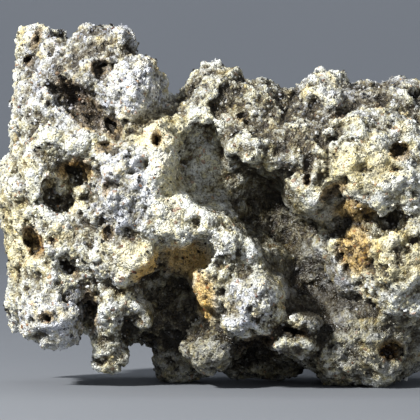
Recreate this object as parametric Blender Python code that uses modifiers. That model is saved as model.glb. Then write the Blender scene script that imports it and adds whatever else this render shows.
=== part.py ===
"""Fulgurite: a lump of sand fused by lightning into one knobbly, hollowed crust.

Blender 4.5 script, metres, +Z up. The lump is one solid. Rounded masses are fused, rounded hollows are
cut from them, ridges and knobs are added over the cuts, the surface is roughened, and the lowest knobs
are ground flat where the stone stands. The back also gets small pits and knobs at seeded random places.
The tables are in millimetres in the stone's own working frame: X from its left end, Y from its middle
depth with the front at -Y, Z up from the surface it stands on. Each row gives a name, the centre
(x, y, z), the radii (x, y, z) and the tilt about Y in degrees, clockwise seen from the front.
"""

import math
import random

import bmesh
import bpy
from mathutils import Matrix, Vector

MM = 0.001

# Driving dimensions, in millimetres.
FUSE_VOXEL = 0.45          # grain of the mesh while masses and hollows are joined
SKIN_VOXEL = 0.5           # grain of the mesh once it is roughened
FOOT_CUT = 0.0             # height of the plane that the feet are ground to
TRIANGLES = 9600           # faces left in the finished solid

# Roughness laid over the skin: texture, size of one bump, height of the highest.
SWELLS = ("CLOUDS", 5.0, 1.2)
KNOBS = ("VORONOI", 3.2, 1.5)
CRUMBS = ("CLOUDS", 1.8, 0.9)

# Small pits and knobs scattered over the back: number, least and greatest radius.
SEED = 7
BACK_START = 3.0           # depth that the scatter starts behind
BACK_LEVELS = (5.0, 28.0)  # heights that it stays between
BACK_PITS = (40, 0.9, 2.1)
BACK_KNOBS = (70, 1.0, 2.2)

MASSES = {
    # the body
    "core_left": ((10.6, 1.5, 19.0), (10.2, 9.8, 11.0), 0),
    "core_middle": ((23, 1.5, 17.5), (11, 10.2, 11.0), 0),
    "core_right": ((35, 1, 16), (11, 10.6, 12), 0),
    "core_end": ((43.0, 0, 15.5), (5.4, 9.0, 12.0), 0),
    "belly_left": ((13.0, 1.5, 9.0), (6.8, 7.4, 4.8), 0),
    "belly_middle": ((25.5, 1.5, 6.2), (8, 8, 5.4), 0),
    # the tower at the upper left
    "tower": ((8.4, -2.0, 28.0), (5.6, 6.0, 6.6), -5),
    "tower_crown_left": ((6.3, -2.4, 33.0), (2.6, 3.8, 2.2), -12),
    "tower_crown_middle": ((9.0, -2.4, 34.3), (2.0, 3.2, 2.3), 0),
    "tower_crown_right": ((11.3, -2.8, 33.9), (2.1, 3.4, 2.7), 0),
    "tower_flank": ((4.4, -2.5, 27.5), (3.1, 4.6, 4.2), 0),
    "tower_knob": ((13.3, -6.0, 29.9), (3.0, 4.2, 3.5), 0),
    "tower_back": ((9.4, 4.0, 27.5), (5.4, 5.0, 6.0), 0),
    "horn_top": ((3.0, 2.6, 34.6), (1.9, 2.6, 2.2), 0),
    "horn_side": ((5.0, 2.8, 34.2), (1.4, 2.2, 1.6), 0),
    "horn_base": ((2.7, 3.2, 31.0), (1.8, 3.0, 3.2), 0),
    # the left end
    "flank_boss": ((2.4, 2.4, 25.4), (1.7, 3.4, 2.8), 0),
    "shoulder_left": ((3.0, 1.6, 18.5), (3.2, 6.6, 6.6), 0),
    "cheek_top": ((8, -4.2, 24.4), (5.4, 5.2, 3.4), 0),
    "cheek_left": ((5.8, -3.2, 20), (5.2, 6.0, 6.4), 0),
    "jaw_left": ((6.8, -3.0, 13.2), (5.2, 6.2, 5.0), 0),
    "flank_low": ((2.9, -0.5, 10.8), (2.3, 5.4, 5.7), 0),
    "lobe_left": ((5.3, -4.4, 7.4), (3.7, 5.0, 3.6), 0),
    # the front of the left half
    "brow": ((12.5, -7.4, 20.0), (4.5, 5.7, 5.0), 0),
    "brow_low": ((10.4, -5.0, 13.8), (4.6, 5.6, 4.0), 0),
    "plate_left": ((15.0, -4.4, 22.6), (4.4, 5.8, 5.6), 0),
    # the skyline of the right half
    "saddle": ((17.0, -1.5, 26.2), (3.4, 5.4, 3.2), 0),
    "saddle_front": ((17.2, -4.6, 24.8), (3.6, 4.8, 3.2), 0),
    "peak_left": ((21.6, -2.2, 28.2), (3.6, 4.6, 4.1), 0),
    "peak_slope": ((25.6, -2, 27.0), (3.6, 4.6, 3.4), 0),
    "peak_back": ((28.2, -0.5, 27.2), (2.6, 4.2, 3.1), 0),
    "peak_middle": ((32.6, -2.4, 27.4), (3.6, 4.8, 4.2), 0),
    "peak_saddle": ((36.4, -2, 26.8), (3.2, 4.6, 3.7), 0),
    "peak_right": ((40.0, -2.5, 27.2), (3.0, 4.8, 3.9), 0),
    "peak_end": ((43.8, -1.5, 26.0), (3.4, 5.2, 4.6), 0),
    # the front of the right half
    "plate_top": ((21.6, -3.0, 25.6), (6.0, 5.4, 4.0), 0),
    "plate_middle": ((28.0, -4.4, 23.8), (5.4, 6.0, 4.0), 0),
    "shoulder_right": ((37.0, -5.8, 22.8), (7.2, 6.0, 5.0), 0),
    "cheek_right": ((40.2, -6.4, 13.4), (5.6, 7.0, 7.4), 0),
    "crag_middle": ((34.2, -4.2, 15.2), (4.4, 5.6, 5.8), 0),
    # the underside
    "keel": ((36.6, -3.8, 4.3), (6.6, 6.6, 4.7), 0),
    "foot_left": ((18.2, 1.6, 3.3), (3.2, 4.2, 3.8), 0),
    "foot_middle": ((28.0, 3.2, 2.9), (2.6, 4.4, 3.0), 0),
    "foot_right": ((35.5, 5.0, 3.2), (4.2, 4.2, 3.7), 0),
    # the right end
    "end_low": ((43.8, 0, 8.2), (4.2, 7.6, 6.6), 0),
    "end_high": ((44.3, -1, 19), (4.0, 8.0, 8.6), 0),
    # the back
    "back_left": ((13, 7.5, 13), (5.8, 4.5, 5.5), 0),
    "back_middle": ((21, 8, 20.5), (5.5, 4.5, 5), 0),
    "back_low": ((26, 8, 11), (5.5, 4.5, 5), 0),
    "back_high": ((31.5, 8, 22), (5.5, 4.5, 5), 0),
    "back_right": ((39, 7, 13.5), (5.5, 5, 6), 0),
}

HOLLOWS = {
    # the two round hollows in the middle and the trough that leads down from them
    "eye_upper": ((20.4, -10.8, 22.4), (3.4, 7.8, 4.9), -4),
    "eye_bridge": ((23.6, -10.2, 19.8), (2.6, 6.4, 3.0), 0),
    "eye_lower": ((26.6, -9.6, 17.8), (3.6, 9.2, 5.2), -30),
    "eye_corner": ((29.0, -9.8, 15.2), (2.9, 8.4, 3.2), -20),
    "trough_neck": ((29.8, -10.2, 12.0), (3.4, 7.4, 3.8), 0),
    "trough": ((31.5, -10.6, 9.4), (3.6, 6.8, 2.8), 35),
    # the big stained hollow below the ridge, open downwards
    "mouth": ((16.7, -10.0, 9.8), (4.0, 7.6, 4.8), 12),
    "mouth_apex": ((19.4, -9.4, 12.9), (2.2, 6.2, 2.1), 50),
    "mouth_left": ((15.2, -10.2, 11.2), (2.5, 6.2, 2.4), -25),
    "mouth_low": ((17.0, -8, 4.4), (3.6, 7.0, 2.6), 0),
    # the tower
    "tower_hollow": ((7.8, -9.0, 28.6), (1.7, 5.2, 3.9), -45),
    "tower_pit": ((10.4, -8, 31.6), (1.0, 2.4, 1.3), 0),
    "tower_notch": ((11.3, -8.6, 26.2), (1.2, 2.6, 1.4), 0),
    "saddle_pit": ((15.4, -9.4, 25.4), (0.9, 2.6, 1.1), 0),
    "horn_crease": ((4.4, -0.6, 35.2), (0.9, 3.0, 1.3), 20),
    # the left end
    "cheek_hollow_top": ((7.7, -9.6, 21.2), (2.4, 4.4, 1.8), 0),
    "cheek_hollow_left": ((6.2, -9.2, 19.0), (1.7, 4.0, 1.9), 0),
    "cheek_hollow_right": ((9.2, -9.8, 19.2), (1.3, 3.2, 1.7), 0),
    "flank_slot": ((3.4, -7.0, 14.7), (1.1, 3.8, 2.2), 0),
    "lobe_pit": ((7.2, -8.8, 11.9), (1.1, 3.2, 1.4), 0),
    "lobe_gap": ((8.7, -7.2, 6.4), (1.2, 6.4, 3.0), 0),
    # the front of the right half
    "port": ((40.1, -11.6, 23.9), (1.5, 4.2, 1.5), 0),
    "cleft": ((34.2, -10.6, 19.6), (2.4, 4.6, 1.0), -38),
    "recess_right": ((38.6, -12.4, 17.2), (4.4, 4.8, 1.5), -4),
    "ochre_left": ((31.6, -9.2, 13.8), (1.4, 3.6, 1.7), 0),
    "ochre_middle": ((33.6, -9.8, 15.8), (2.2, 4.2, 1.5), -30),
    "keel_hollow": ((38.8, -10.2, 3.9), (1.7, 3.0, 1.2), 0),
    "keel_slot": ((35.0, -10.0, 8.4), (3.0, 4.4, 1.0), 20),
    "chin_shadow": ((25.6, -8.0, 2.5), (3.8, 7.0, 2.0), 0),
    # the back and the right end
    "back_eye": ((17, 11.0, 17), (3.9, 6.2, 4.6), 0),
    "back_cup": ((27.5, 12.8, 17), (3.4, 4.8, 3.4), 0),
    "back_port": ((34.5, 12.4, 16), (2.8, 4.6, 3.2), 0),
    "back_slot": ((33, 10.9, 7.5), (4.0, 4.4, 2.2), 15),
    "back_notch": ((8.0, 11.0, 18.5), (2.3, 3.8, 2.6), 0),
    "channel": ((48.4, -1.0, 14.5), (5.4, 3.2, 3.6), 0),
}

RIDGES = {
    # the ridge between the hollows and the mouth
    "ridge_root": ((15.2, -8.2, 16.4), (3.2, 4.3, 2.8), 0),
    "mouth_rim": ((12.4, -7.6, 13.5), (2.0, 4.6, 1.8), -20),
    "ridge_left": ((17.2, -8.6, 17.0), (3.3, 4.3, 2.5), 25),
    "ridge_lip": ((18.0, -9.0, 16.0), (2.8, 4.1, 1.6), 5),
    "crest_high": ((15.5, -7.8, 22.6), (1.9, 4.8, 4.4), 2),
    "crest_middle": ((15.7, -8.2, 19.6), (1.9, 4.2, 2.6), 0),
    "ridge_middle": ((20.6, -8.9, 16.3), (3.0, 4.4, 2.4), 40),
    "ridge_bend": ((22.9, -8.6, 14.3), (2.6, 4.4, 2.3), 42),
    "ridge_right": ((24.6, -8.2, 13.0), (2.0, 4.4, 1.9), 45),
    "ridge_foot": ((24.6, -7.2, 11.8), (1.9, 4.2, 2.4), 0),
    "chin_top": ((23.4, -8.0, 12.2), (2.6, 4.6, 2.1), 20),
    # the chin beside the mouth
    "chin": ((25.2, -8.6, 8.8), (3.3, 4.9, 3.8), 0),
    "chin_wall": ((22.5, -6.2, 10.4), (3.2, 5.4, 3.8), 0),
    "lower_lip": ((21.2, -5.0, 3.8), (3.2, 5.0, 2.3), 0),
    # what hangs below the left half
    "drip_root": ((11.3, -4.9, 9.4), (2.5, 4.0, 2.4), 0),
    "drip_stem": ((10.7, -4.7, 6.4), (1.4, 2.4, 3), 0),
    "drip_tip": ((11.1, -4.7, 3.4), (1.9, 2.4, 1.9), 0),
    "tongue": ((13.9, -7.6, 7.7), (1.0, 1.8, 2.4), -35),
    # knobs and ledges on the front of the right half
    "knob_middle": ((31.0, -7.2, 19.9), (2.4, 4.2, 2.5), 0),
    "knob_left": ((24.9, -6.6, 24.2), (2.3, 4.4, 2.3), 0),
    "shelf": ((33.4, -6.8, 24.2), (3.8, 4.2, 2.0), 5),
    "brow_right": ((39.0, -8.4, 20.2), (4.4, 4.8, 2.5), 0),
    "ledge_upper": ((29.6, -8.0, 6.6), (2.7, 3.2, 1.1), 14),
    "ledge_lower": ((29.8, -7.0, 4.6), (2.7, 3.2, 1.2), 10),
}


def collection(name):
    made = bpy.data.collections.new(name)
    bpy.context.scene.collection.children.link(made)
    return made


def clear_scene():
    for obj in list(bpy.data.objects):
        bpy.data.objects.remove(obj)


def helper(name, mesh, helpers):
    """An object that only shapes the stone."""
    obj = bpy.data.objects.new(name, mesh)
    helpers.objects.link(obj)
    obj.hide_render = True
    obj.display_type = "WIRE"
    return obj


def blob_mesh(name, blobs, start=None):
    """One mesh of tilted ellipsoids, one for each row, beside the mesh it starts from."""
    bm = bmesh.new()
    if start:
        bm.from_mesh(start)
    for centre, radii, tilt in blobs.values():
        place = (
            Matrix.Translation(Vector(centre) * MM)
            @ Matrix.Rotation(math.radians(tilt), 4, "Y")
            @ Matrix.Diagonal((*(Vector(radii) * MM), 1))
        )
        bmesh.ops.create_icosphere(bm, subdivisions=4, radius=1, matrix=place)
    mesh = bpy.data.meshes.new(name)
    bm.to_mesh(mesh)
    bm.free()
    return mesh


def add_remesh(obj, voxel):
    remesh = obj.modifiers.new("fuse", "REMESH")
    remesh.mode = "VOXEL"
    remesh.voxel_size = voxel * MM


def add_roughness(obj, label, kind, size, height):
    texture = bpy.data.textures.new(label, kind)
    texture.noise_scale = size * MM
    if kind == "CLOUDS":
        texture.noise_depth = 2
    displace = obj.modifiers.new(label, "DISPLACE")
    displace.texture = texture
    displace.strength = height * MM
    displace.mid_level = 0.5


def add_smooth(obj, repeats):
    smooth = obj.modifiers.new("soften", "SMOOTH")
    smooth.factor = 0.5
    smooth.iterations = repeats


def evaluated_mesh(obj):
    graph = bpy.context.evaluated_depsgraph_get()
    return bpy.data.meshes.new_from_object(obj.evaluated_get(graph))


def scattered(mesh, number, least, greatest, chance):
    """Rows for round forms of random size, centred at random places on the back of a mesh."""
    low, high = BACK_LEVELS
    places = [vert.co / MM for vert in mesh.vertices]
    places = [spot for spot in places if spot.y > BACK_START and low < spot.z < high]
    rows = {}
    for index in range(number):
        radii = [chance.uniform(least, greatest) for _ in range(3)]
        rows[index] = (chance.choice(places), radii, chance.uniform(-90, 90))
    return rows


def make_hollows(helpers, pits):
    """The cutter: every hollow and pit, fused and slightly uneven."""
    obj = helper("hollows", blob_mesh("hollows", HOLLOWS | pits), helpers)
    add_remesh(obj, FUSE_VOXEL)
    add_roughness(obj, "hollow_swells", "CLOUDS", 2.5, 0.9)
    add_remesh(obj, FUSE_VOXEL)
    return obj


def make_body(helpers):
    """The fused masses."""
    obj = helper("body", blob_mesh("body", MASSES), helpers)
    add_remesh(obj, FUSE_VOXEL)
    add_smooth(obj, 6)
    return obj


def make_rough(helpers):
    """The body with its hollows cut out and its ridges and knobs added, roughened."""
    body = make_body(helpers)
    whole = evaluated_mesh(body)
    chance = random.Random(SEED)
    pits = scattered(whole, *BACK_PITS, chance)
    knobs = scattered(whole, *BACK_KNOBS, chance)
    cut = body.modifiers.new("hollows", "BOOLEAN")
    cut.operation = "DIFFERENCE"
    cut.object = make_hollows(helpers, pits)
    obj = helper("rough", blob_mesh("rough", RIDGES | knobs, evaluated_mesh(body)), helpers)
    add_remesh(obj, SKIN_VOXEL)
    add_smooth(obj, 2)
    add_roughness(obj, "swells", *SWELLS)
    add_roughness(obj, "knobs", *KNOBS)
    add_roughness(obj, "crumbs", *CRUMBS)
    add_remesh(obj, SKIN_VOXEL)
    return obj


def largest_piece(bm):
    """Deletes every loose crumb and leaves the one big body."""
    todo = set(bm.verts)
    bodies = []
    while todo:
        body = set()
        edge = [todo.pop()]
        while edge:
            vert = edge.pop()
            body.add(vert)
            for link in vert.link_edges:
                other = link.other_vert(vert)
                if other in todo:
                    todo.remove(other)
                    edge.append(other)
        bodies.append(body)
    bodies.sort(key=len)
    crumbs = [vert for body in bodies[:-1] for vert in body]
    bmesh.ops.delete(bm, geom=crumbs, context="VERTS")


def grind_feet(bm):
    """Cuts the lowest knobs to the plane that the stone stands on."""
    geometry = bm.verts[:] + bm.edges[:] + bm.faces[:]
    cut = bmesh.ops.bisect_plane(
        bm,
        geom=geometry,
        dist=0.01 * MM,
        plane_co=(0, 0, FOOT_CUT * MM),
        plane_no=(0, 0, -1),
        clear_outer=True,
    )
    rims = [item for item in cut["geom_cut"] if isinstance(item, bmesh.types.BMEdge)]
    bmesh.ops.holes_fill(bm, edges=rims, sides=0)
    bmesh.ops.triangulate(bm, faces=bm.faces[:])


def make_material():
    made = bpy.data.materials.new("fused_sand")
    made.use_nodes = True
    shader = made.node_tree.nodes["Principled BSDF"]
    shader.inputs["Base Color"].default_value = (0.42, 0.40, 0.35, 1)
    shader.inputs["Roughness"].default_value = 0.7
    return made


def centre_on_origin(mesh):
    """Moves the stone so that the origin is the middle of its box, on the surface it stands on."""
    xs = [vert.co.x for vert in mesh.vertices]
    ys = [vert.co.y for vert in mesh.vertices]
    middle = Vector(((min(xs) + max(xs)) / 2, (min(ys) + max(ys)) / 2, FOOT_CUT * MM))
    mesh.transform(Matrix.Translation(-middle))


def main():
    clear_scene()
    helpers = collection("cutters")
    parts = collection("fulgurite")
    rough = evaluated_mesh(make_rough(helpers))

    obj = bpy.data.objects.new("fulgurite", rough)
    parts.objects.link(obj)
    rough.calc_loop_triangles()
    thin = obj.modifiers.new("thin", "DECIMATE")
    thin.ratio = TRIANGLES / len(rough.loop_triangles)
    thin.use_collapse_triangulate = True

    bm = bmesh.new()
    bm.from_mesh(evaluated_mesh(obj))
    largest_piece(bm)
    grind_feet(bm)
    largest_piece(bm)
    mesh = bpy.data.meshes.new("fulgurite")
    bm.to_mesh(mesh)
    bm.free()
    obj.modifiers.clear()
    obj.data = mesh
    mesh.materials.append(make_material())
    centre_on_origin(mesh)


main()
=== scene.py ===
"""Scene for the fulgurite: its crust of fused sand, the grains on it, a floor, lights and a camera.

The stone's forms are placed in its own working frame, in millimetres: X from its left end, Y from its
middle depth with the front at -Y, Z up from the surface that it stands on. The row frame is the same,
moved so that the middle of the box is the origin.
"""

import math
import random

import bmesh
import bpy
import numpy as np
from mathutils import Matrix, Vector, noise
from mathutils.kdtree import KDTree


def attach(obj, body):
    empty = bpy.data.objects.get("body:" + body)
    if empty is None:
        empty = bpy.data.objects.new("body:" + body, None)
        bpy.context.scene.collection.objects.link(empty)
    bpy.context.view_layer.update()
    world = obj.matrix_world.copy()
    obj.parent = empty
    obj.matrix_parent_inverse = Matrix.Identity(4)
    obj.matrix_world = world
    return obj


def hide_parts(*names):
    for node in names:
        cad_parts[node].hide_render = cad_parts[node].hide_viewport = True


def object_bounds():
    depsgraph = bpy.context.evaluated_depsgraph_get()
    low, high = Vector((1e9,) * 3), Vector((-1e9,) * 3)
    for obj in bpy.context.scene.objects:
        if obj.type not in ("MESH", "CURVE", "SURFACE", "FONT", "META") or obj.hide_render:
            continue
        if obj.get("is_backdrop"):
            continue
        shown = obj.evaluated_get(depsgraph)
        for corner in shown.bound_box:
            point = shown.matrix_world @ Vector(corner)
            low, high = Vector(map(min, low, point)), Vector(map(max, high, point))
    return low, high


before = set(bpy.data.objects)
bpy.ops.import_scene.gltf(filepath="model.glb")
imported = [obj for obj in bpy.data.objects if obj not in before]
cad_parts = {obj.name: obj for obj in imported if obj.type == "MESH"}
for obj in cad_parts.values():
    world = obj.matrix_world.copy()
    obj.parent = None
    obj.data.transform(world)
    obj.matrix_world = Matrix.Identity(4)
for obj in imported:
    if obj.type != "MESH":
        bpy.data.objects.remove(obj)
CAD_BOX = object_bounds()

MM = 0.001
MIDDLE = Vector((23.917, 0.320, 0.0))   # middle of the box in the working frame
SEED = 11

# Crust: edge of one cell of its mesh, first coarse and then fine, in millimetres, and the pieces that it is
# split into.
COARSE_VOXEL = 0.36
FINE_VOXEL = 0.215
CUTTER_VOXEL = 0.22
CRUST_PIECES = 4

# Relief laid on the coarse mesh and on the fine one: kind, size of one bump and height in millimetres.
COARSE_RELIEF = (("knobs", 2.6, 1.05), ("ridges", 3.4, 0.50), ("knobs", 1.2, 0.50))
FINE_RELIEF = (("knobs", 0.66, 0.20), ("crags", 0.9, 0.26), ("crags", 0.36, 0.14))
HOLLOW_CALM = 0.85   # share of the coarse relief that the round hollows lose
FINE_CALM = 0.3      # share of the fine relief that they lose

# Pits: number, least and greatest radius in millimetres, depth as a share of the radius.
COARSE_PITS = ((20, 0.9, 1.7, 1.0), (110, 0.5, 0.9, 1.2))
FINE_PITS = ((420, 0.24, 0.5, 1.4),)
PLACED_DEPTH = 1.2             # depth of a placed pit, as a share of its radius
PIT_AXIS = (0.15, -1.0, 0.1)   # the way that a placed pit opens
RIM_STRAY = 0.8                # how far a rim strays, and the size of one stray, as a share of the radius

# Grains: pieces, number of each shape in one piece, least and greatest size in millimetres.
GRAIN_PIECES = 2
ROUND_GRAINS = 5000
ANGULAR_GRAINS = 3400
GRAIN_SIZE = (0.14, 0.40)
GRAIN_JITTER = 0.05   # how far a grain strays, in millimetres
GRAIN_SUNK = 0.22     # how deep its middle lies, as a share of its size
HOLLOW_BARE = 0.95    # share of the grains that the round hollows lose

CAVE_BROWN_AND_SHADE = 1.25   # reach of the brown tint in a small hollow, as a share of its radii: partly the crust's brown, partly painted shade

BLACK = (0.0, 0.0, 0.0)
WHITE = (1.0, 1.0, 1.0)

# Tones of the loose grains along their random value from 0 to 1: (start, colour).
GRAIN_TONES = (
    (0.00, (0.028, 0.027, 0.024)),
    (0.16, (0.14, 0.138, 0.13)),
    (0.32, (0.30, 0.30, 0.29)),
    (0.52, (0.44, 0.45, 0.44)),
    (0.70, (0.60, 0.57, 0.45)),
    (0.84, (0.74, 0.75, 0.71)),
    (0.982, (0.34, 0.19, 0.10)),
    (0.991, (0.15, 0.06, 0.035)),
)

# Tones of the crust from the deepest crevice to the highest crumb: (place, colour). The dark end carries
# the painted shade of crevices and hollows as well as dark grains.
CRUST_TONES = (
    (0.00, (0.029, 0.023, 0.013)),
    (0.22, (0.105, 0.088, 0.055)),
    (0.40, (0.235, 0.220, 0.165)),
    (0.56, (0.41, 0.410, 0.355)),
    (0.78, (0.59, 0.595, 0.530)),
    (1.00, (0.79, 0.805, 0.745)),
)

# Where a spot is along those tones: the base; the painted shade that a millimetre of crevice or of hollow
# adds; what a whole step of the listed lighter and darker places adds, painted light or shade in some
# places and a lighter or darker crust in others; and how far each pattern and the joint round a grain shift
# it.
TONE_BASE = 0.58
PAINTED_CREVICE_SHADE = -1.4
PAINTED_HOLLOW_SHADE = -0.32
PAINTED_LIGHT_AND_TONE_STEP = 1.0
TONE_GRAIN = 0.30
TONE_GRIT = 0.75
TONE_SPECKS = 0.40
TONE_PATCHES = 0.6
TONE_JOINT = 0.16

# Black specks, rusty and yellow grains in the crust, and the mottling of a loose grain: (place, tint).
PEPPER_TINTS = ((0.36, (0.16, 0.16, 0.16)), (0.44, WHITE))
RUST_TINTS = ((0.0, (0.60, 0.36, 0.24)), (0.022, WHITE))
YELLOW_TINTS = ((0.70, WHITE), (0.78, (1.0, 0.95, 0.76)))
MOTTLE_TINTS = ((0.3, (0.35, 0.35, 0.35)), (0.65, (1.25, 1.25, 1.25)))

# Drift of the hue over the crust, from bluish glass to iron-stained sand: (place, tint).
HUE_DRIFT = (
    (0.38, (0.95, 0.965, 1.04)),
    (0.50, (1.0, 1.0, 1.0)),
    (0.59, (1.0, 0.96, 0.83)),
    (0.68, (0.98, 0.85, 0.56)),
)

# Height of the bumps that a material draws, and the shift of a bent joint, in metres.
CRUST_BUMP = 0.00016
GRAIN_BUMP = 0.00006
JOINT_SHIFT = 0.0004

# Scales of the patterns in the materials, in cells or waves to the metre.
GRAIN_CELLS = 2900.0    # grains fused in the crust, about a third of a millimetre
GRAIN_BEND = 1800.0     # bends in their joints
PEPPER = 6400.0         # black specks
GRIT = 5200.0           # roughness of one grain
SPECKS = 1500.0         # small light and dark specks, and the fine edge of a stain
DRIFT = 560.0           # drift of the hue
PATCHES = 430.0         # light and dark patches
STAIN_PATCHES = 300.0   # broad edge of a stain
PAPER = 9.0             # clouds in the floor's paper

# Rounds of smoothing for the neighbourhood that a crevice and a hollow are measured from.
CREVICE_ROUNDS = 16
HOLLOW_ROUNDS = 120

# Low forms laid on the solid and scooped from it before the relief: centre, radii, tilt about Y in degrees,
# clockwise seen from the front. Lumps are proud, scoops are worn back, and caves are small hollows and gaps
# with a brown tint round each, partly the crust's brown and partly painted shade.
LUMPS = (
    ((13.7, -8.8, 12.6), (1.4, 3.2, 3.2), 42),   # lip of the mouth
    ((15.8, -9.4, 22.2), (1.9, 3.4, 4.6), 3),    # crest left of the upper hollow
    ((20.6, -0.2, 22.2), (4.4, 4.6, 5.4), 0),    # back wall of that hollow
    ((30.4, -8.6, 6.9), (2.1, 3.4, 0.8), 14),    # upper ledge
    ((29.4, -8.2, 4.6), (2.4, 3.4, 1.0), 10),    # lower ledge
    ((10.9, -6.0, 8.2), (1.3, 3.4, 3.0), 0),     # root of the drip
    ((12.1, -4.0, 35.1), (1.1, 3.0, 1.2), 0),    # right corner of the tower's top
)
SCOOPS = (
    ((20.0, -10.4, 22.7), (2.5, 5.4, 4.5), -4),   # upper hollow
    ((21.4, -10.5, 19.4), (3.2, 4.6, 1.7), 32),   # behind the ridge
    ((23.4, -10.4, 20.8), (2.4, 6.0, 2.7), 0),    # between the two hollows
    ((20.1, -10.0, 13.6), (1.7, 5.0, 1.7), 0),    # roof of the mouth
    ((27.8, -10.6, 13.8), (2.0, 5.4, 2.4), 0),    # right of the arch
)
CAVES = (
    ((7.9, -8.8, 28.5), (1.45, 4.6, 3.7), -45),
    ((11.2, -8.8, 26.1), (0.9, 3.2, 1.3), -30),
    ((10.0, -8.0, 32.1), (1.0, 2.6, 1.0), 0),
    ((7.3, -10.2, 21.9), (1.9, 3.8, 1.3), -8),
    ((5.3, -9.8, 19.9), (1.1, 3.4, 1.5), 10),
    ((7.9, -10.0, 20.2), (1.0, 3.2, 1.6), 0),
    ((10.6, -12.6, 20.2), (0.55, 1.5, 1.0), 15),
    ((10.8, -12.0, 15.6), (0.8, 2.2, 0.9), 0),
    ((15.7, -11.0, 25.1), (0.5, 1.8, 0.9), 0),
    ((10.4, -9.6, 24.2), (0.9, 1.8, 0.6), -20),
    ((3.4, 0.0, 34.9), (0.45, 3.2, 1.2), 20),
    ((2.6, -0.4, 32.7), (0.5, 2.4, 0.6), 0),
    ((3.2, -7.4, 14.6), (1.0, 3.4, 1.7), -20),
    ((7.2, -9.4, 11.8), (0.5, 2.6, 1.3), -38),
    ((8.9, -7.6, 7.4), (0.75, 5.0, 2.3), 0),
    ((4.7, -9.2, 7.2), (0.7, 1.4, 0.6), 0),
    ((39.9, -11.6, 23.8), (1.0, 3.2, 0.95), 0),
    ((33.2, -10.2, 19.7), (1.5, 3.4, 0.7), -35),
    ((30.6, -11.0, 20.9), (0.4, 1.4, 0.6), 0),
    ((30.8, -10.6, 14.3), (0.6, 3.4, 1.2), 0),
    ((38.0, -6.6, 28.2), (0.45, 1.6, 0.4), 0),
    ((33.9, -7.6, 27.2), (0.9, 1.6, 0.4), 0),
    ((24.2, -8.4, 27.2), (0.7, 1.8, 0.5), 0),
    ((38.7, -8.6, 3.6), (1.2, 1.6, 0.7), 0),
    ((25.6, -9.0, 4.4), (1.9, 4.4, 1.0), -25),
    ((29.2, -10.4, 5.8), (2.0, 2.4, 0.35), 12),
)

# Round hollows whose walls stay smoother, and where no random pits are: centre, radii a little beyond the
# walls, tilt.
HOLLOWS = (
    ((21.2, -10.8, 22.0), (3.8, 9.4, 5.7), -4),
    ((23.8, -10.2, 19.8), (3.4, 7.7, 3.6), 0),
    ((26.6, -9.6, 17.8), (4.3, 11.0, 6.0), -30),
    ((29.0, -9.8, 15.2), (3.5, 10.0, 3.8), -20),
    ((29.8, -10.2, 12.0), (4.1, 8.9, 4.6), 0),
    ((31.5, -10.6, 9.4), (4.3, 8.2, 3.4), 35),
    ((17.0, -9.6, 8.6), (3.6, 9.1, 4.4), 12),
)

# Placed pits on the front: X, Z and radius. Each opens towards the front.
FRONT_PITS = (
    (22.0, 28.0, 1.0), (24.3, 27.6, 0.6), (33.0, 25.8, 0.6), (37.0, 26.6, 0.5),
    (5.6, 19.0, 1.2), (8.8, 19.2, 1.1), (7.6, 21.6, 1.3), (7.1, 11.9, 0.9),
    (10.5, 16.6, 1.0), (14.6, 18.4, 0.6), (33.8, 14.2, 1.1), (34.8, 16.6, 1.0),
    (36.6, 17.4, 0.7), (26.0, 7.0, 0.7), (12.6, 23.4, 0.5), (18.4, 27.0, 0.5),
    (28.6, 27.8, 0.6),
)

# Stains and painted shade, in the order in which they are laid on: socket of the stain group, value on the
# mesh, where the cover starts, how far its edge strays, strength, tint. Cool, Cream and Ochre are hues of
# the crust; Brown is partly brown crust and partly painted shade in small hollows; Dark is mostly painted
# shade.
STAINS_AND_SHADE = (
    ("Cool", "cool", 0.84, 1.1, 0.92, (0.795, 0.805, 0.925)),
    ("Cream", "cream", 0.95, 1.1, 0.85, (1.0, 0.91, 0.66)),
    ("Ochre", "ochre", 0.74, 0.8, 0.92, (1.02, 0.72, 0.32)),
    ("Brown", "brown", 0.60, 0.6, 0.85, (0.58, 0.44, 0.29)),
    ("Dark", "dark", 0.65, 0.8, 0.90, (0.40, 0.385, 0.35)),
)

# Where the stains are: centre, radii, tilt.
OCHRE = (
    ((18.4, -6.5, 12.8), (3.4, 6.0, 2.8), 0),
    ((20.6, -8.0, 9.4), (1.9, 4.5, 3.8), 0),
    ((14.6, -9.6, 12.2), (1.3, 3.4, 2.6), 42),
    ((35.4, -9.0, 14.0), (2.6, 4.0, 3.2), 0),
    ((35.4, -9.0, 17.8), (3.0, 3.0, 1.6), 0),
    ((38.8, -8.5, 4.0), (2.0, 2.5, 1.4), 0),
    ((5.2, -6.0, 14.6), (2.4, 3.0, 2.6), 0),
    ((7.6, -7.0, 21.6), (2.4, 2.6, 1.4), 0),
    ((30.6, -8.0, 19.0), (1.6, 2.4, 1.2), 0),
    ((14.0, 12.0, 14.0), (4.0, 4.0, 3.0), 0),
    ((31.0, 12.0, 9.0), (4.5, 4.0, 3.0), 0),
)
CREAM = (
    ((15.6, -8.0, 25.4), (4.6, 6.0, 3.2), 0),
    ((16.6, -9.0, 21.0), (2.4, 5.0, 4.4), 0),
    ((14.0, -9.0, 13.0), (3.4, 5.0, 3.0), 0),
    ((1.6, -4.0, 15.4), (3.6, 6.0, 6.0), 0),
    ((24.0, -4.5, 27.0), (4.0, 4.0, 2.4), 0),
    ((36.0, -9.0, 22.0), (6.0, 6.0, 3.4), 0),
    ((39.4, -11.0, 13.4), (4.4, 6.0, 4.2), 0),
    ((21.0, 11.0, 22.0), (7.0, 5.0, 4.0), 0),
)
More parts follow.
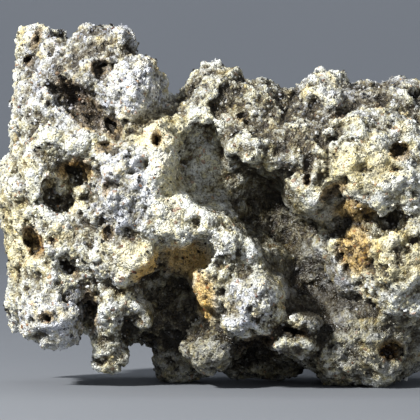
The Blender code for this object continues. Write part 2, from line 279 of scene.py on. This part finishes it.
COOL = (
    ((8.6, -4.0, 32.6), (10.6, 10.0, 8.6), 0),
    ((13.6, -8.0, 30.0), (4.4, 6.0, 4.6), 0),
    ((12.0, -11.0, 20.0), (4.4, 5.0, 6.0), 0),
    ((24.8, -10.0, 8.4), (3.6, 5.0, 3.6), 0),
    ((31.6, -6.0, 9.4), (5.0, 9.0, 5.4), 0),
    ((36.0, -1.0, 28.0), (12.0, 7.0, 4.4), 0),
    ((6.0, -6.0, 7.0), (5.0, 6.0, 4.6), 0),
)
# Places lighter or darker than the rest: centre, radii, tilt, step along the tones. Many are painted light
# or shade:
# the crest, lip, mouth roof, upper hollow and a shaded place on the right are raised as painted light where
# they lie in shade, and places under the stone are lowered as painted shade; others, such as the darker
# top, only make the crust lighter or darker there.
PAINTED_LIGHT_AND_TONES = (
    ((15.6, -11.0, 22.4), (3.0, 5.0, 5.6), 5, 0.50),
    ((18.0, -11.5, 17.4), (4.6, 4.6, 2.6), 20, 0.22),
    ((22.8, -11.5, 14.4), (2.5, 4.6, 4.8), -42, -0.04),
    ((13.9, -10.5, 12.8), (2.3, 4.6, 4.0), 42, 0.52),
    ((12.0, -11.5, 19.6), (3.6, 4.6, 5.0), 0, 0.12),
    ((8.0, -8.0, 25.4), (5.0, 5.0, 2.4), 0, 0.08),
    ((13.4, -9.0, 29.8), (3.6, 5.0, 4.0), 0, 0.30),
    ((8.8, -5.0, 34.6), (5.4, 5.0, 2.2), 0, -0.18),
    ((36.6, -11.0, 23.2), (4.6, 5.0, 3.4), 0, 0.22),
    ((25.0, -11.5, 9.2), (3.4, 4.6, 3.6), 0, 0.12),
    ((19.8, -8.0, 22.0), (4.2, 9.0, 6.4), 0, 0.30),
    ((23.4, -8.0, 22.6), (2.2, 7.0, 4.0), 0, -0.16),
    ((19.2, -6.5, 13.4), (3.6, 7.0, 2.6), 0, 0.80),
    ((5.4, -8.0, 7.4), (4.4, 6.0, 4.0), 0, 0.16),
    ((27.4, -8.0, 25.4), (7.0, 7.0, 4.6), 0, -0.26),
    ((21.0, -3.0, 29.4), (4.6, 5.0, 3.6), 0, -0.34),
    ((38.0, -1.0, 28.4), (11.0, 6.6, 3.6), 0, -0.26),
    ((29.8, -9.4, 20.2), (2.6, 5.0, 3.2), 0, -0.22),
    ((32.6, -8.6, 18.8), (3.0, 5.0, 2.8), 0, 0.34),
    ((2.6, -4.0, 15.4), (3.2, 6.0, 4.2), 0, 0.14),
    ((29.8, -9.0, 5.6), (4.4, 6.0, 3.6), 0, -0.36),
    ((40.0, -10.0, 13.0), (3.4, 5.0, 4.4), 0, -0.12),
    ((11.0, -5.0, 4.4), (3.2, 4.0, 4.6), 0, -0.20),
    ((6.6, -8.0, 31.0), (3.4, 6.0, 2.6), 0, -0.24),
    ((8.4, -8.0, 27.0), (3.4, 5.0, 2.2), 0, -0.12),
    ((26.0, -1.0, 29.2), (7.0, 6.0, 3.2), 0, -0.28),
    ((35.6, -9.0, 14.2), (2.8, 4.0, 3.2), 0, -0.10),
    ((21.4, -8.0, 3.8), (4.4, 6.0, 3.4), 0, -0.16),
    ((15.6, -4.0, 5.6), (4.4, 9.0, 3.4), 0, -0.34),
    ((25.4, -4.0, 3.6), (3.6, 9.0, 2.8), 0, -0.34),
)
# Darker places, laid on as the Dark tint: mostly painted shade under the stone, in the mouth, in the lower
# hollow and in the recesses on the right, partly a darker crust: centre, radii, tilt.
DARK_AND_PAINTED_SHADE = (
    ((27.0, -2.0, 2.0), (10.0, 14.0, 4.6), 0),
    ((16.0, -2.0, 3.6), (6.0, 12.0, 4.6), 0),
    ((21.4, -8.0, 3.8), (4.4, 6.0, 3.4), 0),
    ((37.5, -6.0, 4.5), (8.0, 9.0, 4.8), 0),
    ((31.6, -6.0, 9.4), (4.6, 9.0, 5.4), 0),
    ((27.4, -7.0, 16.4), (4.6, 9.0, 6.4), -30),
    ((28.4, -6.0, 13.0), (4.4, 9.0, 4.0), 0),
    ((33.6, -7.0, 17.4), (4.6, 7.0, 2.6), 0),
    ((17.0, -6.0, 8.6), (3.8, 7.0, 4.4), 0),
)

# Floor and backdrop, in metres: front edge, start, radius and steps of the bend, top edge and half of the
# width, with the tones of the paper.
FLOOR_FRONT = -1.2
BEND_START = 0.35
BEND_RADIUS = 0.25
BEND_STEPS = 12
BACKDROP_TOP = 1.4
FLOOR_HALF_WIDTH = 1.6
PAPER_TONES = ((0.3, (0.15, 0.162, 0.185)), (0.7, (0.165, 0.177, 0.20)))

# Lights: name, place, target and size in metres, power in watts, colour.
STONE_MIDDLE = (0.0, 0.0, 0.018)
BACKDROP_MIDDLE = (0.0, 0.60, 0.20)
LIGHTS = (
    ("key", (-0.20, -0.18, 0.21), STONE_MIDDLE, 0.035, 2.3, (1.0, 0.985, 0.945)),
    ("fill", (0.30, -0.90, 0.30), STONE_MIDDLE, 0.60, 1.2, (0.94, 0.96, 1.0)),
    ("backdrop_light", (0.0, 0.22, 0.50), BACKDROP_MIDDLE, 0.50, 2.0, (0.93, 0.97, 1.0)),
)
SKY = (0.70, 0.735, 0.79)
SKY_STRENGTH = 0.37

# Camera: the place that it looks at, the width that it shows there and its sensor in millimetres, its
# distance in metres, and its rise above level in degrees.
LOOK_AT = (21.0, -7.0, 17.8)
SHOWN_WIDTH = 42.0
SENSOR_WIDTH = 36.0
CAMERA_DISTANCE = 0.50
CAMERA_RISE = 2.0


def at(x, y, z):
    """A place in the working frame, in millimetres, as row metres."""
    return (Vector((x, y, z)) - MIDDLE) * MM


def points_of(mesh):
    points = np.empty(len(mesh.vertices) * 3, np.float32)
    mesh.vertices.foreach_get("co", points)
    return points.reshape(-1, 3)


def normals_of(mesh):
    normals = np.empty(len(mesh.vertices) * 3, np.float32)
    mesh.vertex_normals.foreach_get("vector", normals)
    return normals.reshape(-1, 3)


def move_points(mesh, points):
    mesh.vertices.foreach_set("co", points.astype(np.float32).ravel())
    mesh.update()


def new_object(name, data):
    obj = bpy.data.objects.new(name, data)
    bpy.context.scene.collection.objects.link(obj)
    return obj


def remeshed(mesh, voxel, cutter=None):
    """The mesh rebuilt on an even grid, less the cutter."""
    obj = new_object("remesh", mesh)
    remesh = obj.modifiers.new("remesh", "REMESH")
    remesh.mode = "VOXEL"
    remesh.voxel_size = voxel * MM
    remesh.use_smooth_shade = True
    if cutter:
        cut = obj.modifiers.new("cut", "BOOLEAN")
        cut.operation = "DIFFERENCE"
        cut.solver = "MANIFOLD"
        cut.object = new_object("cutter", cutter)
    graph = bpy.context.evaluated_depsgraph_get()
    made = bpy.data.meshes.new_from_object(obj.evaluated_get(graph))
    if cutter:
        bpy.data.objects.remove(cut.object)
    bpy.data.objects.remove(obj)
    return made


def inside(points, forms):
    """How deep each point is in any of the tilted ellipsoids: 1 at a centre, 0 outside."""
    depth = np.zeros(len(points), np.float32)
    for centre, radii, tilt in forms:
        away = (points - np.array(at(*centre), np.float32)) / MM
        turn = np.array(Matrix.Rotation(math.radians(tilt), 3, "Y"), np.float32)
        away = away @ turn / np.array(radii, np.float32)
        depth = np.maximum(depth, 1 - np.linalg.norm(away, axis=1))
    return np.clip(depth, 0, 1)


def within(points, forms):
    """1 well inside the forms and 0 outside them, with a short slope between."""
    return np.clip(inside(points, forms) * 6 - 0.6, 0, 1)


def relief(points, kind, size):
    """Noise at each point, about -0.5 to 0.5, for bumps of one size in millimetres."""
    places = (points / (size * MM)).tolist()
    if kind == "knobs":
        found = [0.45 - noise.voronoi(place)[0][0] for place in places]
    elif kind == "ridges":
        raised = (noise.ridged_multi_fractal(place, 0.9, 2.1, 3, 0.9, 2.0) for place in places)
        found = [height * 0.4 - 0.5 for height in raised]
    else:
        found = [noise.fractal(place, 0.7, 2.1, 3) for place in places]
    found = np.array(found, np.float32)
    return found - found.mean()


def cavity(mesh, rounds):
    """How far each point lies below its smoothed neighbourhood, in millimetres."""
    edges = np.empty(len(mesh.edges) * 2, np.int32)
    mesh.edges.foreach_get("vertices", edges)
    a, b = edges.reshape(-1, 2).T
    count = np.bincount(np.r_[a, b], minlength=len(mesh.vertices)).astype(np.float32)
    points = points_of(mesh)
    smooth = points.copy()
    for _ in range(rounds):
        total = np.zeros_like(smooth)
        for axis in range(3):
            column = smooth[:, axis]
            weights = np.r_[column[b], column[a]]
            total[:, axis] = np.bincount(np.r_[a, b], weights=weights, minlength=len(count))
        smooth = total / count[:, None]
    return ((smooth - points) * normals_of(mesh)).sum(axis=1) / MM


def dig(points, normals, tree, centre, axis, radius, depth):
    """A pit with steep walls and a ragged edge, sunk along its axis."""
    for place, index, far in tree.find_range(centre, radius * 1.4):
        reach = far / radius * (1 + RIM_STRAY * noise.noise(place / (radius * RIM_STRAY)))
        if reach < 1 and normals[index] @ axis > 0.1:
            points[index] -= axis * depth * math.sqrt(1 - reach * reach)


def tree_of(points):
    tree = KDTree(len(points))
    for index, point in enumerate(points):
        tree.insert(point, index)
    tree.balance()
    return tree


def dig_front_pits(points, normals):
    """The placed pits, each on the frontmost skin at its place."""
    tree = tree_of(points)
    axis = np.array(PIT_AXIS, np.float32)
    axis /= np.linalg.norm(axis)
    for x, z, radius in FRONT_PITS:
        spot = at(x, 0, z)
        near = np.hypot(points[:, 0] - spot.x, points[:, 2] - spot.z) < 0.4 * MM
        if not near.any():
            continue
        rows = np.flatnonzero(near)
        front = rows[points[rows, 1].argmin()]
        dig(points, normals, tree, points[front], axis, radius * MM, radius * MM * PLACED_DEPTH)


def dig_random_pits(points, normals, pits, chance):
    """Pits at random places outside the hollows."""
    tree = tree_of(points)
    hollow = inside(points, HOLLOWS) > 0.1
    for number, least, greatest, depth in pits:
        for _ in range(number):
            index = chance.randrange(len(points))
            if hollow[index]:
                continue
            radius = chance.uniform(least, greatest) * MM
            axis = normals[index].copy()
            dig(points, normals, tree, points[index].copy(), axis, radius, radius * depth)


def add_balls(bm, forms):
    """Tilted ellipsoids, one for each form."""
    for centre, radii, tilt in forms:
        turn = Matrix.Rotation(math.radians(tilt), 4, "Y")
        place = Matrix.Translation(at(*centre)) @ turn @ Matrix.Diagonal((*(Vector(radii) * MM), 1))
        bmesh.ops.create_icosphere(bm, subdivisions=4, radius=1, matrix=place)


def scoop_mesh():
    """The scoops and caves, fused into one closed cutter."""
    bm = bmesh.new()
    add_balls(bm, SCOOPS + CAVES)
    mesh = bpy.data.meshes.new("scoops")
    bm.to_mesh(mesh)
    bm.free()
    return remeshed(mesh, CUTTER_VOXEL)


def solid_mesh():
    """A copy of the solid's mesh, its corners joined, with the lumps laid on it."""
    bm = bmesh.new()
    bm.from_mesh(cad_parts["fulgurite"].data)
    bmesh.ops.remove_doubles(bm, verts=bm.verts, dist=1e-6)
    add_balls(bm, LUMPS)
    mesh = bpy.data.meshes.new("crust")
    bm.to_mesh(mesh)
    bm.free()
    return mesh


def lifted(points, normals, layers, share):
    """The points moved out and in by some layers of relief."""
    lift = sum(height * relief(points, kind, size) for kind, size, height in layers)
    return points + normals * (lift * share * MM)[:, None]


def make_crust_mesh(chance):
    """The solid's skin with crags, knobs and pits down to the size of a grain."""
    mesh = remeshed(solid_mesh(), COARSE_VOXEL, scoop_mesh())
    points, normals = points_of(mesh), normals_of(mesh)
    calm = 1 - HOLLOW_CALM * within(points, HOLLOWS)
    near_floor = np.clip(points[:, 2] / MM, 0, 1)
    points = lifted(points, normals, COARSE_RELIEF, calm * near_floor)
    dig_front_pits(points, normals)
    dig_random_pits(points, normals, COARSE_PITS, chance)
    move_points(mesh, points)
    mesh = remeshed(mesh, FINE_VOXEL)
    points, normals = points_of(mesh), normals_of(mesh)
    calm = 1 - FINE_CALM * within(points, HOLLOWS)
    points = lifted(points, normals, FINE_RELIEF, calm)
    dig_random_pits(points, normals, FINE_PITS, chance)
    points[:, 2] = np.maximum(points[:, 2], 0)
    move_points(mesh, points)
    return mesh


def add_values(mesh, name, values):
    attribute = mesh.attributes.new(name, "FLOAT", "POINT")
    attribute.data.foreach_set("value", values.astype(np.float32))


def slices_of(mesh, count):
    """The mesh split into pieces of about the same number of faces, from left to right."""
    middles = np.empty(len(mesh.polygons) * 3, np.float32)
    mesh.polygons.foreach_get("center", middles)
    across = middles.reshape(-1, 3)[:, 0]
    limits = np.quantile(across, np.arange(1, count) / count)
    owner = np.searchsorted(limits, across)
    for index in range(count):
        bm = bmesh.new()
        bm.from_mesh(mesh)
        lost = [face for face, held in zip(bm.faces, owner) if held != index]
        bmesh.ops.delete(bm, geom=lost, context="FACES")
        piece = bpy.data.meshes.new("crust")
        bm.to_mesh(piece)
        bm.free()
        yield piece


def shared_values(mesh):
    """Where the surface is stained, and where painted light and shade or a lighter or darker crust lie, as
    values that the materials read.
    """
    points = points_of(mesh)
    for name, forms in (("ochre", OCHRE), ("cream", CREAM), ("cool", COOL), ("dark", DARK_AND_PAINTED_SHADE)):
        add_values(mesh, name, np.clip(inside(points, forms) * 2.0, 0, 1))
    wide = [(centre, np.array(radii) * CAVE_BROWN_AND_SHADE, tilt) for centre, radii, tilt in CAVES]
    add_values(mesh, "brown", np.clip(inside(points, wide) * 4.0, 0, 1))
    steps = sum(step * np.clip(inside(points, [form]) * 2.5, 0, 1) for *form, step in PAINTED_LIGHT_AND_TONES)
    add_values(mesh, "step", steps)


def template(make, **options):
    """One grain's corners and triangles."""
    bm = bmesh.new()
    make(bm, **options)
    bmesh.ops.triangulate(bm, faces=bm.faces[:])
    corners = np.array([vert.co for vert in bm.verts], np.float32)
    faces = np.array([[vert.index for vert in face.verts] for face in bm.faces], np.int32)
    bm.free()
    return corners, faces


def random_turns(count, dice):
    """Rotation matrices from random quaternions."""
    turns = dice.normal(size=(4, count))
    w, x, y, z = turns / np.linalg.norm(turns, axis=0)
    rows = (
        (1 - 2 * (y * y + z * z), 2 * (x * y - z * w), 2 * (x * z + y * w)),
        (2 * (x * y + z * w), 1 - 2 * (x * x + z * z), 2 * (y * z - x * w)),
        (2 * (x * z - y * w), 2 * (y * z + x * w), 1 - 2 * (x * x + y * y)),
    )
    return np.stack([np.stack(row, axis=-1) for row in rows], axis=1)


def grains_at(shape, places, normals, dice):
    """Corners and triangles of one grain at each place, partly sunk in the crust."""
    corners, faces = shape
    count = len(places)
    size = dice.uniform(*GRAIN_SIZE, count) * MM
    stretch = dice.uniform(0.7, 1.25, (count, 1, 3)) * size[:, None, None]
    rough = corners[None] * dice.uniform(0.82, 1.18, (count, len(corners), 1))
    turned = np.einsum("nij,nkj->nki", random_turns(count, dice), rough * stretch)
    jitter = dice.normal(0, GRAIN_JITTER * MM, (count, 3))
    sunk = places + jitter - normals * (GRAIN_SUNK * size)[:, None]
    solid = turned + sunk[:, None, :]
    solid[:, :, 2] = np.maximum(solid[:, :, 2], 0)
    indices = faces[None] + (np.arange(count) * len(corners))[:, None, None]
    return solid.reshape(-1, 3), indices.reshape(-1, 3)


def make_grains(name, points, normals, weights, dice):
    """One piece of many grains on the crust, with a random tone for each grain."""
    chosen = dice.choice(len(points), ROUND_GRAINS + ANGULAR_GRAINS, replace=False, p=weights)
    shapes = (
        template(bmesh.ops.create_icosphere, subdivisions=1, radius=0.5),
        template(bmesh.ops.create_cube, size=0.75),
    )
    corners, faces, tones = [], [], []
    start = 0
    for shape, rows in zip(shapes, (chosen[:ROUND_GRAINS], chosen[ROUND_GRAINS:])):
        made, indices = grains_at(shape, points[rows], normals[rows], dice)
        corners.append(made)
        faces.append(indices + start)
        tones.append(np.repeat(dice.random(len(rows)), len(shape[0])))
        start += len(made)
    mesh = bpy.data.meshes.new(name)
    mesh.from_pydata(np.concatenate(corners), [], np.concatenate(faces))
    add_values(mesh, "tone", np.concatenate(tones))
    shared_values(mesh)
    return mesh


class Nodes:
    """Short calls for making a node tree."""

    def __init__(self, tree):
        self.tree = tree

    def add(self, kind, inputs=None, **settings):
        node = self.tree.nodes.new(kind)
        for key, value in settings.items():
            setattr(node, key, value)
        for key, value in (inputs or {}).items():
            self.put(node, key, value)
        return node

    def put(self, node, key, value):
        if isinstance(value, bpy.types.NodeSocket):
            self.tree.links.new(value, node.inputs[key])
        else:
            node.inputs[key].default_value = value

    def value(self, name):
        return self.add("ShaderNodeAttribute", attribute_name=name).outputs["Fac"]

    def ramp(self, factor, stops, mode="LINEAR"):
        node = self.add("ShaderNodeValToRGB", {"Fac": factor})
        node.color_ramp.interpolation = mode
        while len(node.color_ramp.elements) < len(stops):
            node.color_ramp.elements.new(1)
        for element, (place, colour) in zip(node.color_ramp.elements, stops):
            element.position = place
            element.color = (*colour, 1)
        return node.outputs["Color"]

    def math(self, operation, *values, clamp=False):
        node = self.add("ShaderNodeMath", operation=operation, use_clamp=clamp)
        for index, value in enumerate(values):
            self.put(node, index, value)
        return node.outputs[0]

    def mix(self, factor, first, second, blend="MIX"):
        node = self.add("ShaderNodeMix", data_type="RGBA", blend_type=blend)
        self.put(node, 0, factor)
        self.put(node, 6, first)
        self.put(node, 7, second)
        return node.outputs[2]

    def noise(self, where, scale, detail=2.0, rough=0.5):
        inputs = {"Vector": where, "Scale": scale, "Detail": detail, "Roughness": rough}
        return self.add("ShaderNodeTexNoise", inputs).outputs["Fac"]


def new_material(name):
    made = bpy.data.materials.new(name)
    made.use_nodes = True
    made.node_tree.nodes.clear()
    return made, Nodes(made.node_tree)


def finish_material(nodes, inputs):
    shader = nodes.add("ShaderNodeBsdfPrincipled", inputs)
    output = nodes.add("ShaderNodeOutputMaterial")
    nodes.put(output, "Surface", shader.outputs[0])


def stain_and_shade_group():
    """Lets the hue of a colour drift from place to place, and lays the stains and the painted shade on it.
    """
    tree = bpy.data.node_groups.new("fulgurite_stain_and_shade", "ShaderNodeTree")
    tree.interface.new_socket("Color", in_out="INPUT", socket_type="NodeSocketColor")
    for socket in ("Step", *(stain[0] for stain in STAINS_AND_SHADE)):
        tree.interface.new_socket(socket, in_out="INPUT", socket_type="NodeSocketFloat")
    tree.interface.new_socket("Color", in_out="OUTPUT", socket_type="NodeSocketColor")
    nodes = Nodes(tree)
    given = nodes.add("NodeGroupInput").outputs
    where = nodes.add("ShaderNodeTexCoord").outputs["Object"]
    broad = nodes.noise(where, STAIN_PATCHES, 3.0, 0.6)
    fine = nodes.noise(where, SPECKS, 2.0, 0.6)
    drift = nodes.ramp(nodes.noise(where, DRIFT, 3.0, 0.6), HUE_DRIFT)
    share = nodes.math("MULTIPLY_ADD", given["Step"], -1.2, 1.0, clamp=True)
    colour = nodes.mix(share, given["Color"], drift, "MULTIPLY")
    for socket, _, start, stray, strength, tint in STAINS_AND_SHADE:
        cover = nodes.math("MULTIPLY_ADD", broad, stray, given[socket])
        cover = nodes.math("MULTIPLY_ADD", fine, 0.5 * stray, cover)
        cover = nodes.math("MULTIPLY", nodes.math("SUBTRACT", cover, start), 1.6, clamp=True)
        cover = nodes.math("MULTIPLY", cover, strength)
        colour = nodes.mix(cover, colour, (*tint, 1), "MULTIPLY")
    nodes.put(nodes.add("NodeGroupOutput"), "Color", colour)
    return tree


def stained(nodes, group, colour):
    """The colour with the stains and the painted shade of its place on it."""
    node = nodes.add("ShaderNodeGroup", node_tree=group)
    nodes.put(node, "Color", colour)
    nodes.put(node, "Step", nodes.value("step"))
    for socket, name, *_ in STAINS_AND_SHADE:
        nodes.put(node, socket, nodes.value(name))
    return node.outputs["Color"]


def grain_cells(nodes, where):
    """Grains packed side by side: three random values for each, and the distance from its nearest joint."""
    bend = nodes.add("ShaderNodeTexNoise", {"Vector": where, "Scale": GRAIN_BEND, "Detail": 2.0})
    inputs = {0: bend.outputs["Color"], 1: (JOINT_SHIFT, JOINT_SHIFT, JOINT_SHIFT)}
    shift = nodes.add("ShaderNodeVectorMath", inputs, operation="MULTIPLY")
    inputs = {0: where, 1: shift.outputs[0]}
    bent = nodes.add("ShaderNodeVectorMath", inputs, operation="ADD")
    inputs = {"Vector": bent.outputs[0], "Scale": GRAIN_CELLS}
    cell = nodes.add("ShaderNodeTexVoronoi", inputs)
    joint = nodes.add("ShaderNodeTexVoronoi", inputs, feature="DISTANCE_TO_EDGE")
    chance = nodes.add("ShaderNodeSeparateColor", {"Color": cell.outputs["Color"]})
    return chance.outputs, joint.outputs["Distance"]


def crust_colour(nodes, where, chance, joint, fine, speck):
    """Painted shade in the crevices and hollows and pale on the crumbs, with black specks and some rusty
    and yellow grains.
    """
    # Painted shade: the deeper a crevice or a hollow, the darker the colour; the step adds the painted
    # light and shade, or the lighter or darker crust, of the listed places.
    place = nodes.math("MULTIPLY_ADD", nodes.value("cavity"), PAINTED_CREVICE_SHADE, TONE_BASE)
    place = nodes.math("MULTIPLY_ADD", nodes.value("basin"), PAINTED_HOLLOW_SHADE, place)
    place = nodes.math("MULTIPLY_ADD", nodes.value("step"), PAINTED_LIGHT_AND_TONE_STEP, place)
    patch = nodes.noise(where, PATCHES, 1.0, 0.5)
    shares = ((chance[0], TONE_GRAIN), (fine, TONE_GRIT), (speck, TONE_SPECKS), (patch, TONE_PATCHES))
    for pattern, share in shares:
        place = nodes.math("MULTIPLY_ADD", nodes.math("SUBTRACT", pattern, 0.5), share, place)
    edge = nodes.math("SUBTRACT", nodes.math("MULTIPLY", joint, 3.2, clamp=True), 1.0)
    place = nodes.math("MULTIPLY_ADD", edge, TONE_JOINT, place)
    colour = nodes.ramp(place, CRUST_TONES)
    pepper = nodes.ramp(nodes.noise(where, PEPPER, 1.0, 0.5), PEPPER_TINTS)
    colour = nodes.mix(0.75, colour, pepper, "MULTIPLY")
    colour = nodes.mix(0.8, colour, nodes.ramp(chance[1], RUST_TINTS, "CONSTANT"), "MULTIPLY")
    return nodes.mix(1.0, colour, nodes.ramp(chance[2], YELLOW_TINTS), "MULTIPLY")


def crust_material(group):
    """Fused sand: grains with dark joints between them, glassier in the dark places."""
    made, nodes = new_material("fulgurite_crust")
    where = nodes.add("ShaderNodeTexCoord").outputs["Object"]
    chance, joint = grain_cells(nodes, where)
    fine = nodes.noise(where, GRIT, 2.0, 0.65)
    speck = nodes.noise(where, SPECKS, 3.0, 0.65)
    colour = crust_colour(nodes, where, chance, joint, fine, speck)
    grit = nodes.math("MULTIPLY_ADD", joint, 1.6, fine)
    bump = nodes.add("ShaderNodeBump", {"Strength": 0.9, "Distance": CRUST_BUMP, "Height": grit})
    rough = nodes.math("MULTIPLY_ADD", speck, 0.9, 0.05)
    rough = nodes.math("MULTIPLY_ADD", nodes.value("dark"), -0.16, rough)
    inputs = {"Base Color": stained(nodes, group, colour), "Roughness": rough, "Normal": bump.outputs[0]}
    finish_material(nodes, inputs)
    return made


def grain_material(group):
    """Single sand grains: mostly pale quartz and grey glass, some cream, black and rust."""
    made, nodes = new_material("fulgurite_grains")
    where = nodes.add("ShaderNodeTexCoord").outputs["Object"]
    tone = nodes.value("tone")
    colour = nodes.ramp(tone, GRAIN_TONES, "CONSTANT")
    # Painted light and shade: the grains take the steps of the listed lighter and darker places too.
    shade = nodes.math("MULTIPLY_ADD", nodes.value("step"), 1.2, 1.0)
    colour = nodes.mix(1.0, colour, nodes.ramp(shade, ((0.0, BLACK), (1.0, WHITE))), "MULTIPLY")
    colour = stained(nodes, group, colour)
    grit = nodes.noise(where, GRIT, 1.0, 0.5)
    colour = nodes.mix(0.6, colour, nodes.ramp(grit, MOTTLE_TINTS), "MULTIPLY")
    bump = nodes.add("ShaderNodeBump", {"Strength": 0.35, "Distance": GRAIN_BUMP, "Height": grit})
    gloss = nodes.math("FRACT", nodes.math("MULTIPLY", tone, 37.0))
    rough = nodes.math("MULTIPLY_ADD", gloss, 0.55, 0.16)
    finish_material(nodes, {"Base Color": colour, "Roughness": rough, "Normal": bump.outputs[0]})
    return made


def add_piece(name, mesh, material):
    obj = new_object(name, mesh)
    mesh.materials.clear()
    mesh.materials.append(material)
    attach(obj, "root")
    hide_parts("fulgurite")
    return obj


def add_stone():
    """The crust's pieces and the grains on them."""
    group = stain_and_shade_group()
    crust = crust_material(group)
    grains = grain_material(group)
    mesh = make_crust_mesh(random.Random(SEED))
    # Depth of crevices and of hollows, which the crust's colour turns into painted shade.
    add_values(mesh, "cavity", cavity(mesh, CREVICE_ROUNDS))
    add_values(mesh, "basin", cavity(mesh, HOLLOW_ROUNDS))
    shared_values(mesh)
    for index, piece in enumerate(slices_of(mesh, CRUST_PIECES)):
        add_piece(f"crust_{index + 1}", piece, crust)
    points, normals = points_of(mesh), normals_of(mesh)
    hollow = np.clip(inside(points, HOLLOWS) * 5.0, 0, 1)
    weights = (1 - HOLLOW_BARE * hollow) * (points[:, 2] > 0.3 * MM)
    weights = weights / weights.sum()
    for index in range(GRAIN_PIECES):
        dice = np.random.default_rng(SEED + index)
        name = f"grains_{index + 1}"
        add_piece(name, make_grains(name, points, normals, weights, dice), grains)


def add_floor():
    """A floor that curves up into a backdrop."""
    profile = [(FLOOR_FRONT, 0.0), (BEND_START, 0.0)]
    for step in range(1, BEND_STEPS + 1):
        turn = math.radians(90 * step / BEND_STEPS)
        profile.append((BEND_START + BEND_RADIUS * math.sin(turn), BEND_RADIUS * (1 - math.cos(turn))))
    profile.append((BEND_START + BEND_RADIUS, BACKDROP_TOP))
    bm = bmesh.new()
    sides = [[bm.verts.new((x, y, z)) for y, z in profile] for x in (-FLOOR_HALF_WIDTH, FLOOR_HALF_WIDTH)]
    for left, right in zip(zip(sides[0], sides[0][1:]), zip(sides[1], sides[1][1:])):
        bm.faces.new((left[0], right[0], right[1], left[1])).smooth = True
    mesh = bpy.data.meshes.new("floor")
    bm.to_mesh(mesh)
    bm.free()
    made, nodes = new_material("floor_paper")
    where = nodes.add("ShaderNodeTexCoord").outputs["Object"]
    colour = nodes.ramp(nodes.noise(where, PAPER), PAPER_TONES)
    finish_material(nodes, {"Base Color": colour, "Roughness": 0.8})
    mesh.materials.append(made)
    new_object("floor", mesh)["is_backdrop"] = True


def add_lights():
    """A firm key from the left and above, a weak fill from the front, a backdrop light and a soft sky."""
    for name, place, target, size, power, colour in LIGHTS:
        data = bpy.data.lights.new(name, "AREA")
        data.shape = "DISK"
        data.size = size
        data.energy = power
        data.color = colour
        obj = new_object(name, data)
        obj.location = place
        obj.rotation_euler = (Vector(target) - Vector(place)).to_track_quat("-Z", "Y").to_euler()
    world = bpy.data.worlds.new("studio")
    world.use_nodes = True
    sky = world.node_tree.nodes["Background"]
    sky.inputs["Color"].default_value = (*SKY, 1)
    sky.inputs["Strength"].default_value = SKY_STRENGTH
    bpy.context.scene.world = world


def add_camera():
    """A long lens, level with the middle of the stone, whose width takes in all but its right end."""
    data = bpy.data.cameras.new("camera")
    obj = new_object("camera", data)
    look = at(*LOOK_AT)
    rise = math.radians(CAMERA_RISE)
    obj.location = look + Vector((0, -math.cos(rise), math.sin(rise))) * CAMERA_DISTANCE
    obj.rotation_euler = (look - obj.location).to_track_quat("-Z", "Y").to_euler()
    data.sensor_width = SENSOR_WIDTH
    data.lens = SENSOR_WIDTH * CAMERA_DISTANCE / (SHOWN_WIDTH * MM)
    data.clip_start = 0.01
    data.clip_end = 10.0
    bpy.context.scene.camera = obj


add_stone()
add_floor()
add_lights()
add_camera()
bpy.context.scene.view_settings.view_transform = "Standard"

[[list(corner) for corner in box] for box in (CAD_BOX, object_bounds())]
